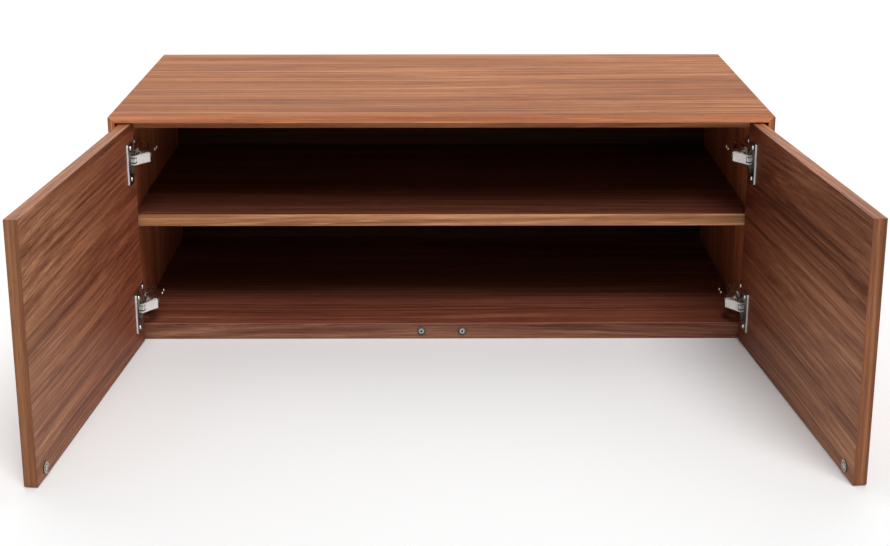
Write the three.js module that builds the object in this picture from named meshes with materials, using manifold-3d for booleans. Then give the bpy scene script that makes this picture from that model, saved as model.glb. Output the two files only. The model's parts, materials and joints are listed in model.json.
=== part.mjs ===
// A low, wide cabinet: mitred shell, one loose shelf, two inset doors on concealed hinges, two push latches.
// Millimetres, +Z up, front towards -Y. The origin is the middle of the bottom panel's underside.
import * as THREE from 'three';
import { mergeVertices } from 'three/addons/utils/BufferGeometryUtils.js';
import Module from 'manifold-3d';

const wasm = await Module();
wasm.setup();

// ---------- Driving dimensions ----------

// Overall size of the carcass.
const WIDTH = 1000;
const DEPTH = 470;
const HEIGHT = 365;

// Carcass panels.
const SHELL = 23; // thickness of the top and the two sides
const LIP = 10; // what the door rebate leaves of that thickness at the front
const BOTTOM = 26; // thickness of the bottom panel
const BACK = 6; // thickness of the back panel
const BACK_INSET = 12; // from the rear edges to the back panel's groove
const GROOVE_DEPTH = 6;
const FIT_GAP = 0.3; // clearance on each side of a glued or fitted piece
const OVERSHOOT = 1; // how far a cut reaches past the surface that it opens

// Mitre spline.
const SPLINE_THICKNESS = 3;
const SPLINE_WIDTH = 12.4;
const SPLINE_FRONT = 40; // from the front plane to the stopped groove
const SPLINE_REAR = 30; // from the rear edge to the stopped groove

// Shelf and its pins.
const SHELF = 19;
const SHELF_HEIGHT = 183.5; // underside of the shelf above the underside of the cabinet
const SHELF_SETBACK = 7.5; // from the rebate's step to the shelf's front edge
const SHELF_END_GAP = 1; // at each end and behind
const PIN_DIAMETER = 5;
const PIN_REACH = 8; // how far a pin stands out of the side, and how far it goes in
const PIN_COLLAR_DIAMETER = 7.4;
const PIN_COLLAR = 1.6;
const PIN_SETBACK = 60; // pin centres from the shelf's front and rear edges

// Dowels between the bottom and the sides.
const DOWEL_DIAMETER = 8;
const DOWEL_IN_SIDE = 10;
const DOWEL_IN_BOTTOM = 18;
const DOWEL_SETBACK = 90; // dowel centres from the front plane and from the rear edge

// Doors.
const DOOR = 18;
const DOOR_SIDE_GAP = 3; // between a door and the side lip, and between the two doors
const DOOR_TOP_GAP = 2.5;
const DOOR_REAR_GAP = 4.5; // from a shut door's inner face to the step of the rebate
const DOOR_BOTTOM_LIFT = 1; // doors end this far above the underside
const LEFT_REST_OPENING = 95; // degrees
const RIGHT_REST_OPENING = 96;

// Door axis, measured inwards from the lip's inner face and backwards from the front plane.
const AXIS_INWARD = 13;
const AXIS_FROM_INNER_FACE = 10.8; // the axis lies this far inside a door's inner face
const AXIS_BACKWARD = DOOR - AXIS_FROM_INNER_FACE;

// Concealed hinge.
const HINGE_FROM_DOOR_END = 57; // hinge centres from the door's top and bottom edges
const CUP_DIAMETER = 35;
const CUP_FROM_EDGE = 5; // wood left between the cup hole and the door's hinge edge
const CUP_DEPTH = 11.5;
const CUP_WALL = 1.2;
const CUP_RIM = 1.2; // height of the cup's rim and ring over the door
const FLANGE_RING_DIAMETER = 38;
const FLANGE = 2.6; // thickness of the flange, whose far edge is level with the ring's
const FLANGE_LENGTH = 64;
const FLANGE_WIDTH = 24;
const FLANGE_CORNER = 4;
const FLANGE_SCREW_SPACING = 48;
const FLANGE_SCREW_OFFSET = 6; // from the cup's centre, away from the hinge edge
const FLANGE_SCREW_HOLE = 4.4;
const FLANGE_BEYOND_CUP = 0.2; // how far the flange passes the cup on the hinge side
const LINK_HALF_THICKNESS = 1.2;
const LINK_WEB_HALF_THICKNESS = 0.8;
const LINK_WEB_GAP = 0.4; // between the outer link's web and the arm's round nose
const LINK_WEB_LEAD = 1; // how far the web starts behind the pivot
const LINK_WEB_END = 0.75; // where the web stops, as a share of the link's length
const LINK_WEB_RISE = 1.2; // how far the web steps outwards at its cup end
const LINK_PIN_DIAMETER = 3;
const LINK_EYE_DIAMETER = 6.4;
const LINK_PIN_GAP = 0.3;
const LINK_PIN_INSET = 0.2; // from the arm's outer faces to a pin's ends
const INNER_LINK_HALF_WIDTH = 3;
const LINK_SIDE_GAP = 0.5; // inner link to the arm's cheeks, and these to the outer link's cheeks
const ARM_WALL = 1.4;
const OUTER_LINK_WALL = 1.5;
const ARM_LENGTH = 75; // from the rebate's step to the arm's rear end
const ARM_TAIL_START = 38; // from the rebate's step to where the arm's tail meets its cranked neck
const ARM_NECK_START = 19; // from the rebate's step to where the neck meets the open nose
const ARM_NOSE_TURN = THREE.MathUtils.degToRad(144);
const ARM_LOWER_NECK_LEAD = 2; // how far the neck's lower edge starts and ends ahead of its upper edge
const ARM_LOWER_TAIL_LEAD = 12;
const ARM_CHANNEL_LEAD = 0.6;
const ARM_LIFT = 1.5; // from the plate's rail to the arm's lower edge
const ARM_TAIL_HEIGHT = 9; // the arm's rear part, from its lower edge to its web
const PLATE = 2.2; // thickness of the mounting plate's wings
const PLATE_LENGTH = 48; // along the height of the side
const PLATE_WIDTH = 15;
const PLATE_SETBACK = 37; // plate screws from the rebate's step
const PLATE_SCREW_SPACING = 32;
const RAIL_HALF_WIDTH = 6;
const RAIL_HEIGHT = 7.5;
const RAIL_END_GAP = 2; // from the arm's rear end to the rail's
const SADDLE_END_GAP = 4; // from the arm's rear end to the saddle's
const SCREW_HEAD_DIAMETER = 7.6;
const SCREW_HEAD = 2.2;
const SCREW_DIAMETER = 3.6;
const SCREW_DEPTH = 11; // length of the screw in the wood
const SCREW_POINT = 1; // length of the taper at its end

// Push latches and strike plates.
const LATCH_SPACING = 64;
const LATCH_DIAMETER = 12;
const LATCH_LENGTH = 50;
const LATCH_WALL = 0.8;
const LATCH_REAR_WALL = 2;
const LATCH_RING_DIAMETER = 13.5;
const LATCH_RING = 1.2;
const LATCH_RING_BREAK = 0.3; // broken front edge of the ring
const PLUNGER_DIAMETER = 9.8;
const PLUNGER_LENGTH = 42;
const PLUNGER_GAP = 0.6; // from a shut door's strike plate to the latched plunger
const PLUNGER_WALL = 1.2;
const PLUNGER_BREAK = 0.4; // broken front edge of the plunger
const MAGNET_THICKNESS = 2.7;
const MAGNET_WEB = 2.4; // plunger's wall behind the magnet
const MAGNET_HOLE_DIAMETER = 4.2;
const SPRING_DIAMETER = 5.4; // middle of the wire
const SPRING_WIRE = 0.8;
const SPRING_COILS = 11;
const SPRING_CLEARANCE = 3.1; // from the plunger's web to the first coil, so that the plunger can be pressed
const STRIKE_DIAMETER = 17;
const STRIKE = 1.2;
const STRIKE_SCREW_DIAMETER = 3;
const STRIKE_SCREW_LENGTH = 11;
const STRIKE_HEAD_DIAMETER = 6.8;
const STRIKE_HEAD_SUNK = 0.1; // how far the screw's head lies below the plate's face

// ---------- Places worked out from the dimensions ----------

const FRONT = -DEPTH / 2;
const REAR = DEPTH / 2;
const INNER_HALF = WIDTH / 2 - SHELL;
const CEILING = HEIGHT - SHELL;
const STEP = SHELL - LIP; // the rebate's width across the panel
const REBATE = DOOR + DOOR_REAR_GAP; // the rebate's depth, front to back
const SHELF_FRONT = REBATE + SHELF_SETBACK;
const GROOVE_REAR = DEPTH - BACK_INSET;
const GROOVE_FRONT = GROOVE_REAR - BACK - 2 * FIT_GAP;
const LATCH_HEIGHT = BOTTOM / 2;

const DOOR_WIDTH = (WIDTH - 2 * LIP - 3 * DOOR_SIDE_GAP) / 2;
const DOOR_LOW = DOOR_BOTTOM_LIFT;
const DOOR_HIGH = HEIGHT - LIP - DOOR_TOP_GAP;
const HINGE_HEIGHTS = { lower: DOOR_LOW + HINGE_FROM_DOOR_END, upper: DOOR_HIGH - HINGE_FROM_DOOR_END };

// In the door's own frame x runs from the axis to the free edge, y from the outer to the inner face.
const DOOR_HINGE_EDGE = DOOR_SIDE_GAP - AXIS_INWARD;
const DOOR_FREE_EDGE = DOOR_HINGE_EDGE + DOOR_WIDTH;
const DOOR_OUTER = -AXIS_BACKWARD;
const DOOR_INNER = DOOR - AXIS_BACKWARD;
const CUP_CENTRE = DOOR_HINGE_EDGE + CUP_FROM_EDGE + CUP_DIAMETER / 2;
const CUP_CAVITY = CUP_DIAMETER / 2 - CUP_WALL;
const STRIKE_PLACE = WIDTH / 2 - LIP - LATCH_SPACING / 2 - AXIS_INWARD;

// The two link pivots of a hinge lie on rays from the door axis. A ray halves the angle that the cup end of
// its link turns through, so both ends of the link meet the cup when the door is shut and at this opening.
const LINK_DESIGN_OPENING = THREE.MathUtils.degToRad(95);
const DOOR_AXIS = new THREE.Vector2(AXIS_INWARD, AXIS_BACKWARD);
const OUTER_LINK = linkage(11, 2.5, 35, [[0.57, 2.8], [0.94, 5.6]]);
const INNER_LINK = linkage(9.6, 3, 36, [[0.53, 1.8], [0.95, 5.8]]);

const ARM_HALF_WIDTH = INNER_LINK_HALF_WIDTH + LINK_SIDE_GAP + ARM_WALL;
const OUTER_LINK_HALF_WIDTH = ARM_HALF_WIDTH + LINK_SIDE_GAP + OUTER_LINK_WALL;
const ARM_NOSE = LINK_EYE_DIAMETER / 2; // its radius about the outer link's pivot

const CURVE_SEGMENTS = 24; // cups, strike plates and latches
const SMALL_SEGMENTS = 12; // pins, screws and their holes
const ARC_SEGMENTS = 5; // each round stretch of an outline

// Works out one link from its cup end's place in the door, its pivot's distance from the door axis, and the
// two bends that take it over the cup's rim: each a share of the length and a step to the side.
function linkage(fromHingeEdge, belowInnerFace, pivotDistance, bends) {
  const cupEnd = new THREE.Vector2(DOOR_HINGE_EDGE + fromHingeEdge, DOOR_INNER - belowInnerFace);
  const ray = cupEnd.angle() - LINK_DESIGN_OPENING / 2;
  const pivot = new THREE.Vector2(Math.cos(ray), Math.sin(ray)).multiplyScalar(pivotDistance).add(DOOR_AXIS);
  const shut = cupEnd.clone().add(DOOR_AXIS).sub(pivot);
  const openCupEnd = cupEnd.clone().rotateAround(new THREE.Vector2(), -LINK_DESIGN_OPENING);
  const open = openCupEnd.add(DOOR_AXIS).sub(pivot);
  const length = shut.length();
  const path = [new THREE.Vector2(0, 0)];
  for (const [share, step] of bends) {
    path.push(new THREE.Vector2(share * length, step));
  }
  path.push(new THREE.Vector2(length, 0));
  const turnPerOpening = (open.angle() - shut.angle()) / LINK_DESIGN_OPENING;
  return { pivot, path, shutAngle: shut.angle(), turnPerOpening };
}

// ---------- Solid building ----------

function solidOf(geometry) {
  const bare = geometry.clone();
  bare.deleteAttribute('normal');
  bare.deleteAttribute('uv');
  const merged = mergeVertices(bare, 1e-4);
  const mesh = new wasm.Mesh({
    numProp: 3,
    vertProperties: merged.attributes.position.array,
    triVerts: Uint32Array.from(merged.index.array),
  });
  return new wasm.Manifold(mesh);
}

function geometryOf(solid) {
  const mesh = solid.getMesh();
  const geometry = new THREE.BufferGeometry();
  geometry.setAttribute('position', new THREE.BufferAttribute(mesh.vertProperties, 3));
  geometry.setIndex(new THREE.BufferAttribute(mesh.triVerts, 1));
  geometry.computeVertexNormals();
  return geometry;
}

function joined(...pieces) {
  return geometryOf(pieces.map(solidOf).reduce((whole, piece) => whole.add(piece)));
}

function carved(body, ...tools) {
  return geometryOf(tools.map(solidOf).reduce((left, tool) => left.subtract(tool), solidOf(body)));
}

function block(x0, x1, y0, y1, z0, z1) {
  const box = new THREE.BoxGeometry(x1 - x0, y1 - y0, z1 - z0);
  return box.translate((x0 + x1) / 2, (y0 + y1) / 2, (z0 + z1) / 2);
}

function rodAlongX(diameter, x0, x1, y, z, segments = SMALL_SEGMENTS) {
  const rod = new THREE.CylinderGeometry(diameter / 2, diameter / 2, x1 - x0, segments);
  return rod.rotateZ(-Math.PI / 2).translate((x0 + x1) / 2, y, z);
}

function rodAlongY(diameter, y0, y1, x, z, segments = SMALL_SEGMENTS) {
  const rod = new THREE.CylinderGeometry(diameter / 2, diameter / 2, y1 - y0, segments);
  return rod.translate(x, (y0 + y1) / 2, z);
}

function rodAlongZ(diameter, z0, z1, x, y, segments = SMALL_SEGMENTS) {
  const rod = new THREE.CylinderGeometry(diameter / 2, diameter / 2, z1 - z0, segments);
  return rod.rotateX(Math.PI / 2).translate(x, y, (z0 + z1) / 2);
}

// A turned piece about a line along Y: each profile point is a radius and a place along Y.
function turned(profile, segments = SMALL_SEGMENTS) {
  return new THREE.LatheGeometry(profile.map(([radius, y]) => new THREE.Vector2(radius, y)), segments);
}

function shapeOf(points) {
  return new THREE.Shape(points.map(([x, y]) => new THREE.Vector2(x, y)));
}

function slab(shape, depth) {
  return new THREE.ExtrudeGeometry(shape, { depth, bevelEnabled: false, curveSegments: ARC_SEGMENTS });
}

// An outline in the X-Z plane, made solid from y0 to y1.
function slabAlongY(shape, y0, y1) {
  return slab(shape, y1 - y0).rotateX(Math.PI / 2).translate(0, y1, 0);
}

// An outline in the X-Y plane, made solid from z0 to z1.
function slabAlongZ(shape, z0, z1) {
  return slab(shape, z1 - z0).translate(0, 0, z0);
}

// ---------- Materials ----------

const FINISHES = {
  walnut: { color: 0x9a6b4f, roughness: 0.55, metalness: 0 },
  walnutEdge: { color: 0xa97a5c, roughness: 0.55, metalness: 0 },
  beech: { color: 0xc9a77c, roughness: 0.7, metalness: 0 },
  nickel: { color: 0xd8d5d0, roughness: 0.3, metalness: 1 },
  steel: { color: 0xb9b9b7, roughness: 0.35, metalness: 1 },
  greyPlastic: { color: 0x77756f, roughness: 0.5, metalness: 0 },
  palePlastic: { color: 0xcfcdc8, roughness: 0.45, metalness: 0 },
};

function part(name, geometry, finish) {
  const mesh = new THREE.Mesh(geometry, new THREE.MeshStandardMaterial(FINISHES[finish]));
  mesh.name = name;
  return mesh;
}

// ---------- Carcass, in the cabinet's own frame ----------

// The mitre runs at 45 degrees from the outer corner to the inner one. Half the joint's gap is taken off each
// piece, which moves its end this far along X or Z.
const MITRE_TRIM = (FIT_GAP / 2) * Math.SQRT2;
const MITRE_MIDDLE = [SHELL / 2 - LIP, HEIGHT - SHELL / 2]; // inwards from the lip's inner face, and up

// The spline's section, square to the mitre, in the hand frame's X-Z plane.
function splineSection(clearance) {
  const along = (SPLINE_WIDTH / 2 + clearance) / Math.SQRT2;
  const across = (SPLINE_THICKNESS / 2 + clearance) / Math.SQRT2;
  const [x, z] = MITRE_MIDDLE;
  return shapeOf([
    [x + along + across, z + along - across],
    [x + along - across, z + along + across],
    [x - along - across, z - along + across],
    [x - along + across, z - along - across],
  ]);
}

function splineCutter() {
  return slabAlongY(splineSection(FIT_GAP), SPLINE_FRONT - FIT_GAP, DEPTH - SPLINE_REAR + FIT_GAP);
}

function topPanel() {
  const high = WIDTH / 2 - MITRE_TRIM;
  const low = INNER_HALF - MITRE_TRIM;
  const outline = shapeOf([[-high, HEIGHT], [high, HEIGHT], [low, CEILING], [-low, CEILING]]);
  const rebateLow = CEILING - OVERSHOOT;
  const rebate = block(-WIDTH, WIDTH, FRONT - OVERSHOOT, FRONT + REBATE, rebateLow, HEIGHT - LIP);
  const groove = backGroove(CEILING - OVERSHOOT, CEILING + GROOVE_DEPTH);
  const left = splineCutter().translate(LIP - WIDTH / 2, FRONT, 0);
  const right = left.clone().rotateZ(Math.PI).translate(0, SPLINE_FRONT - SPLINE_REAR, 0);
  return carved(slabAlongY(outline, FRONT, REAR), rebate, groove, left, right);
}

// The back panel's groove in the top or the bottom, between two heights.
function backGroove(z0, z1) {
  return block(-WIDTH, WIDTH, FRONT + GROOVE_FRONT, FRONT + GROOVE_REAR, z0, z1);
}

function bottomPanel() {
  const half = INNER_HALF - FIT_GAP;
  const board = block(-half, half, FRONT + REBATE, REAR, 0, BOTTOM);
  const tools = [backGroove(BOTTOM - GROOVE_DEPTH, BOTTOM + OVERSHOOT)];
  const bore = LATCH_DIAMETER + 2 * FIT_GAP;
  const boreEnd = FRONT + REBATE + LATCH_LENGTH + FIT_GAP;
  const hole = DOWEL_DIAMETER + 2 * FIT_GAP;
  for (const side of [-1, 1]) {
    tools.push(rodAlongY(bore, FRONT, boreEnd, (side * LATCH_SPACING) / 2, LATCH_HEIGHT, CURVE_SEGMENTS));
    for (const y of dowelPlaces()) {
      const inner = side * (half - DOWEL_IN_BOTTOM - FIT_GAP);
      const outer = (side * WIDTH) / 2;
      tools.push(rodAlongX(hole, Math.min(inner, outer), Math.max(inner, outer), FRONT + y, BOTTOM / 2));
    }
  }
  return carved(board, ...tools);
}

function backPanel() {
  const reach = GROOVE_DEPTH - FIT_GAP;
  const half = INNER_HALF + reach;
  const front = FRONT + GROOVE_FRONT + FIT_GAP;
  return block(-half, half, front, front + BACK, BOTTOM - reach, CEILING + reach);
}

function shelf() {
  const half = INNER_HALF - SHELF_END_GAP;
  return block(-half, half, FRONT + SHELF_FRONT, FRONT + shelfRear(), SHELF_HEIGHT, SHELF_HEIGHT + SHELF);
}

function shelfRear() {
  return GROOVE_FRONT + FIT_GAP - SHELF_END_GAP;
}

function dowelPlaces() {
  return [DOWEL_SETBACK, DEPTH - DOWEL_SETBACK];
}

function pinPlaces() {
  return [SHELF_FRONT + PIN_SETBACK, shelfRear() - PIN_SETBACK];
}

function pinHeight() {
  return SHELF_HEIGHT - FIT_GAP - PIN_DIAMETER / 2;
}

// ---------- Pieces of one hand ----------
// A hand's frame starts at the front bottom corner of its lip's inner face. X runs inwards, Y backwards and
// Z up. The right hand's frame is the left one's mirror image.

function sidePanel() {
  const outline = shapeOf([
    [-LIP, 0],
    [STEP, 0],
    [STEP, CEILING - MITRE_TRIM],
    [-LIP, HEIGHT - MITRE_TRIM],
  ]);
  const cutEnd = STEP + OVERSHOOT;
  const tools = [
    block(0, cutEnd, -OVERSHOOT, REBATE, -OVERSHOOT, HEIGHT),
    block(STEP - GROOVE_DEPTH, cutEnd, GROOVE_FRONT, GROOVE_REAR, BOTTOM - GROOVE_DEPTH, HEIGHT),
    splineCutter(),
  ];
  for (const y of dowelPlaces()) {
    const hole = DOWEL_DIAMETER + 2 * FIT_GAP;
    tools.push(rodAlongX(hole, STEP - DOWEL_IN_SIDE - FIT_GAP, cutEnd, y, BOTTOM / 2));
  }
  for (const y of pinPlaces()) {
    const hole = PIN_DIAMETER + 2 * FIT_GAP;
    tools.push(rodAlongX(hole, STEP - PIN_REACH - FIT_GAP, cutEnd, y, pinHeight()));
  }
  for (const height of Object.values(HINGE_HEIGHTS)) {
    for (const z of plateScrewHeights(height)) {
      const hole = SCREW_DIAMETER + 2 * FIT_GAP;
      tools.push(rodAlongX(hole, STEP - SCREW_DEPTH - FIT_GAP, cutEnd, REBATE + PLATE_SETBACK, z));
    }
  }
  return carved(slabAlongY(outline, 0, DEPTH), ...tools);
}

function mitreSpline() {
  return slabAlongY(splineSection(0), SPLINE_FRONT, DEPTH - SPLINE_REAR);
}

function dowel(y) {
  const inSide = STEP - DOWEL_IN_SIDE;
  const inBottom = STEP + FIT_GAP + DOWEL_IN_BOTTOM;
  return rodAlongX(DOWEL_DIAMETER, inSide, inBottom, y, BOTTOM / 2);
}

function shelfPin(y) {
  const stem = rodAlongX(PIN_DIAMETER, STEP - PIN_REACH, STEP + PIN_REACH, y, pinHeight());
  const collarStart = STEP + FIT_GAP;
  const collar = rodAlongX(PIN_COLLAR_DIAMETER, collarStart, collarStart + PIN_COLLAR, y, pinHeight());
  // The collar is cut flat on top, level with the stem, so that the shelf rests on both.
  const side = PIN_DIAMETER;
  const flat = block(0, PIN_REACH, -side, side, 0, side).translate(STEP, y, SHELF_HEIGHT - FIT_GAP);
  return carved(joined(stem, collar), flat);
}

function plateScrewHeights(height) {
  return [height - PLATE_SCREW_SPACING / 2, height + PLATE_SCREW_SPACING / 2];
}

// ---------- Hinge, fixed pieces: centred on its own height ----------

const ARM_REAR = REBATE + ARM_LENGTH;
const ARM_TAIL_LOW = STEP + RAIL_HEIGHT + ARM_LIFT;
const ARM_TAIL_HIGH = ARM_TAIL_LOW + ARM_TAIL_HEIGHT;
const ARM_TAIL_FRONT = REBATE + ARM_TAIL_START;
const ARM_NECK = REBATE + ARM_NECK_START;

// The arm seen along its pins. The web is what lies between this outline and the inner one below.
function armOutline() {
  const outer = OUTER_LINK.pivot;
  const inner = INNER_LINK.pivot;
  const shape = new THREE.Shape();
  shape.moveTo(ARM_TAIL_LOW, ARM_REAR);
  shape.lineTo(ARM_TAIL_HIGH, ARM_REAR);
  shape.lineTo(ARM_TAIL_HIGH, ARM_TAIL_FRONT);
  shape.lineTo(outer.x + ARM_NOSE, ARM_NECK);
  shape.lineTo(outer.x + ARM_NOSE, outer.y);
  shape.absarc(outer.x, outer.y, ARM_NOSE, 0, -ARM_NOSE_TURN, true);
  shape.lineTo(inner.x - ARM_NOSE, inner.y);
  shape.lineTo(inner.x - ARM_NOSE, ARM_NECK - ARM_LOWER_NECK_LEAD);
  shape.lineTo(ARM_TAIL_LOW, ARM_TAIL_FRONT - ARM_LOWER_TAIL_LEAD);
  shape.closePath();
  return shape;
}

function arm() {
  const outer = OUTER_LINK.pivot;
  const inner = INNER_LINK.pivot;
  const beyond = outer.x + 2 * ARM_NOSE;
  const channel = shapeOf([
    [0, ARM_REAR + OVERSHOOT],
    [ARM_TAIL_HIGH - ARM_WALL, ARM_REAR + OVERSHOOT],
    [ARM_TAIL_HIGH - ARM_WALL, ARM_TAIL_FRONT - ARM_CHANNEL_LEAD],
    [outer.x + ARM_NOSE - ARM_WALL, ARM_NECK],
    [beyond, ARM_NECK],
    [beyond, 0],
    [0, 0],
  ]);
  const inside = ARM_HALF_WIDTH - ARM_WALL;
  const shell = carved(
    slabAlongZ(armOutline(), -ARM_HALF_WIDTH, ARM_HALF_WIDTH),
    slabAlongZ(channel, -inside, inside),
  );
  const pins = [[outer, OUTER_LINK_HALF_WIDTH], [inner, ARM_HALF_WIDTH]].map(([{ x, y }, half]) => {
    const end = half - LINK_PIN_INSET;
    return rodAlongZ(LINK_PIN_DIAMETER, -end, end, x, y);
  });
  return joined(shell, ...pins);
}

function mountingPlate() {
  const seat = STEP + FIT_GAP;
  const screws = REBATE + PLATE_SETBACK;
  const half = RAIL_HALF_WIDTH;
  const wingFront = screws - PLATE_WIDTH / 2;
  const wingRear = screws + PLATE_WIDTH / 2;
  const wings = block(seat, seat + PLATE, wingFront, wingRear, -PLATE_LENGTH / 2, PLATE_LENGTH / 2);
  const rail = block(seat, STEP + RAIL_HEIGHT, screws - PLATE_WIDTH, ARM_REAR - RAIL_END_GAP, -half, half);
  const saddleTop = ARM_TAIL_HIGH - ARM_WALL - FIT_GAP;
  const inside = ARM_HALF_WIDTH - ARM_WALL - FIT_GAP;
  const saddle = block(seat, saddleTop, wingRear, ARM_REAR - SADDLE_END_GAP, -inside, inside);
  const bore = SCREW_DIAMETER + 2 * FIT_GAP;
  const holes = plateScrewHeights(0).map((z) => rodAlongX(bore, 0, STEP + SHELL, screws, z));
  return carved(joined(wings, rail, saddle), ...holes);
}

function plateScrew() {
  const headSeat = STEP + FIT_GAP + PLATE + FIT_GAP;
  const screw = turned([
    [0, STEP - SCREW_DEPTH],
    [SCREW_DIAMETER / 2, STEP - SCREW_DEPTH + SCREW_POINT],
    [SCREW_DIAMETER / 2, headSeat],
    [SCREW_HEAD_DIAMETER / 2, headSeat],
    [SCREW_HEAD_DIAMETER / 2, headSeat + SCREW_HEAD / 2],
    [SCREW_HEAD_DIAMETER / 4, headSeat + SCREW_HEAD],
    [0, headSeat + SCREW_HEAD],
  ]);
  return screw.rotateZ(-Math.PI / 2);
}

// ---------- Hinge links ----------

// The outline of a strap of even thickness along a bent path, with round ends.
function strapOutline(path, half) {
  const sideways = path.map((point, i) => {
    const before = i > 0 ? point.clone().sub(path[i - 1]).normalize() : null;
    const after = i < path.length - 1 ? path[i + 1].clone().sub(point).normalize() : null;
    const along = before && after ? before.clone().add(after).normalize() : before || after;
    const stretch = before && after ? 1 / along.dot(after) : 1;
    return new THREE.Vector2(-along.y, along.x).multiplyScalar(half * stretch);
  });
  const shape = new THREE.Shape();
  const last = path.length - 1;
  const end = path[last].clone().sub(path[last - 1]).angle();
  const start = path[1].clone().sub(path[0]).angle();
  shape.moveTo(path[0].x - sideways[0].x, path[0].y - sideways[0].y);
  for (let i = 1; i <= last; i += 1) {
    shape.lineTo(path[i].x - sideways[i].x, path[i].y - sideways[i].y);
  }
  shape.absarc(path[last].x, path[last].y, half, end - Math.PI / 2, end + Math.PI / 2, false);
  for (let i = last - 1; i >= 0; i -= 1) {
    shape.lineTo(path[i].x + sideways[i].x, path[i].y + sideways[i].y);
  }
  shape.absarc(path[0].x, path[0].y, half, start + Math.PI / 2, start + Math.PI * 1.5, false);
  return shape;
}

function linkCheek(link, z0, z1) {
  const strap = slabAlongZ(strapOutline(link.path, LINK_HALF_THICKNESS), z0, z1);
  const eye = rodAlongZ(LINK_EYE_DIAMETER, z0, z1, 0, 0);
  return joined(strap, eye);
}

function pinHole() {
  const reach = 2 * OUTER_LINK_HALF_WIDTH;
  return rodAlongZ(LINK_PIN_DIAMETER + 2 * LINK_PIN_GAP, -reach, reach, 0, 0);
}

// The outer link wraps the nose of the arm: a cheek on each side, and a web on the side away from the rim.
function outerLink() {
  const outside = OUTER_LINK_HALF_WIDTH;
  const inside = outside - OUTER_LINK_WALL;
  const [, firstBend, , cupEnd] = OUTER_LINK.path;
  const webHeight = ARM_NOSE + LINK_WEB_GAP + LINK_WEB_HALF_THICKNESS;
  const webPath = [
    new THREE.Vector2(-LINK_WEB_LEAD, webHeight),
    new THREE.Vector2(firstBend.x, webHeight),
    new THREE.Vector2(LINK_WEB_END * cupEnd.x, webHeight + LINK_WEB_RISE),
  ];
  const side = new THREE.Shape([...OUTER_LINK.path.slice(0, -1), ...webPath.toReversed()]);
  const cheeks = [[-outside, -inside], [inside, outside]].flatMap(([z0, z1]) => [
    linkCheek(OUTER_LINK, z0, z1),
    slabAlongZ(side, z0, z1),
  ]);
  const web = slabAlongZ(strapOutline(webPath, LINK_WEB_HALF_THICKNESS), -outside, outside);
  return carved(joined(...cheeks, web), pinHole());
}

function innerLink() {
  return carved(linkCheek(INNER_LINK, -INNER_LINK_HALF_WIDTH, INNER_LINK_HALF_WIDTH), pinHole());
}

// ---------- Door, in the door's own frame ----------

function doorPanel() {
  const board = block(DOOR_HINGE_EDGE, DOOR_FREE_EDGE, DOOR_OUTER, DOOR_INNER, DOOR_LOW, DOOR_HIGH);
  const bore = CUP_DIAMETER + 2 * FIT_GAP;
  const floor = DOOR_INNER - CUP_DEPTH - FIT_GAP;
  const tools = Object.values(HINGE_HEIGHTS).map((height) => (
    rodAlongY(bore, floor, DOOR_INNER + OVERSHOOT, CUP_CENTRE, height, CURVE_SEGMENTS)
  ));
  const screwEnd = strikeTop() - STRIKE_SCREW_LENGTH - FIT_GAP;
  const pilot = STRIKE_SCREW_DIAMETER + 2 * FIT_GAP;
  tools.push(rodAlongY(pilot, screwEnd, DOOR_INNER + OVERSHOOT, STRIKE_PLACE, LATCH_HEIGHT));
  return carved(board, ...tools);
}

// The flange's outline: wings beyond the ring at both ends, with one long straight far edge.
function flangeOutline() {
  const far = FLANGE_RING_DIAMETER / 2;
  const near = far - FLANGE_WIDTH;
  const half = FLANGE_LENGTH / 2;
  const corner = FLANGE_CORNER;
  const shape = new THREE.Shape();
  shape.moveTo(far - corner, -half);
  shape.absarc(far - corner, corner - half, corner, -Math.PI / 2, 0, false);
  shape.absarc(far - corner, half - corner, corner, 0, Math.PI / 2, false);
  shape.absarc(near + corner, half - corner, corner, Math.PI / 2, Math.PI, false);
  shape.absarc(near + corner, corner - half, corner, Math.PI, Math.PI * 1.5, false);
  return shape;
}

function hingeCup() {
  const top = DOOR_INNER + FIT_GAP + CUP_RIM;
  const floor = DOOR_INNER - CUP_DEPTH;
  const radius = CUP_DIAMETER / 2;
  const cup = turned([
    [0, floor],
    [radius, floor],
    [radius, top],
    [CUP_CAVITY, top],
    [CUP_CAVITY, floor + CUP_WALL],
    [0, floor + CUP_WALL],
  ], CURVE_SEGMENTS);
  const flangeLow = top - CUP_RIM;
  const flangeTop = flangeLow + FLANGE;
  const flange = joined(
    rodAlongY(FLANGE_RING_DIAMETER, flangeLow, top, 0, 0, CURVE_SEGMENTS),
    slabAlongY(flangeOutline(), flangeLow, flangeTop),
  );
  const cutLow = flangeLow - OVERSHOOT;
  const cutHigh = flangeTop + OVERSHOOT;
  const flangeEdge = -radius - FLANGE_BEYOND_CUP; // it ends here, so that the links can pass over the rim
  const tools = [
    block(-CUP_DIAMETER, flangeEdge, cutLow, cutHigh, -CUP_DIAMETER, CUP_DIAMETER),
    rodAlongY(2 * CUP_CAVITY, cutLow, cutHigh, 0, 0, CURVE_SEGMENTS),
  ];
  for (const z of [-FLANGE_SCREW_SPACING / 2, FLANGE_SCREW_SPACING / 2]) {
    tools.push(rodAlongY(FLANGE_SCREW_HOLE, cutLow, cutHigh, FLANGE_SCREW_OFFSET, z));
  }
  return joined(cup, carved(flange, ...tools));
}

function strikeTop() {
  return DOOR_INNER + FIT_GAP + STRIKE;
}

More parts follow.
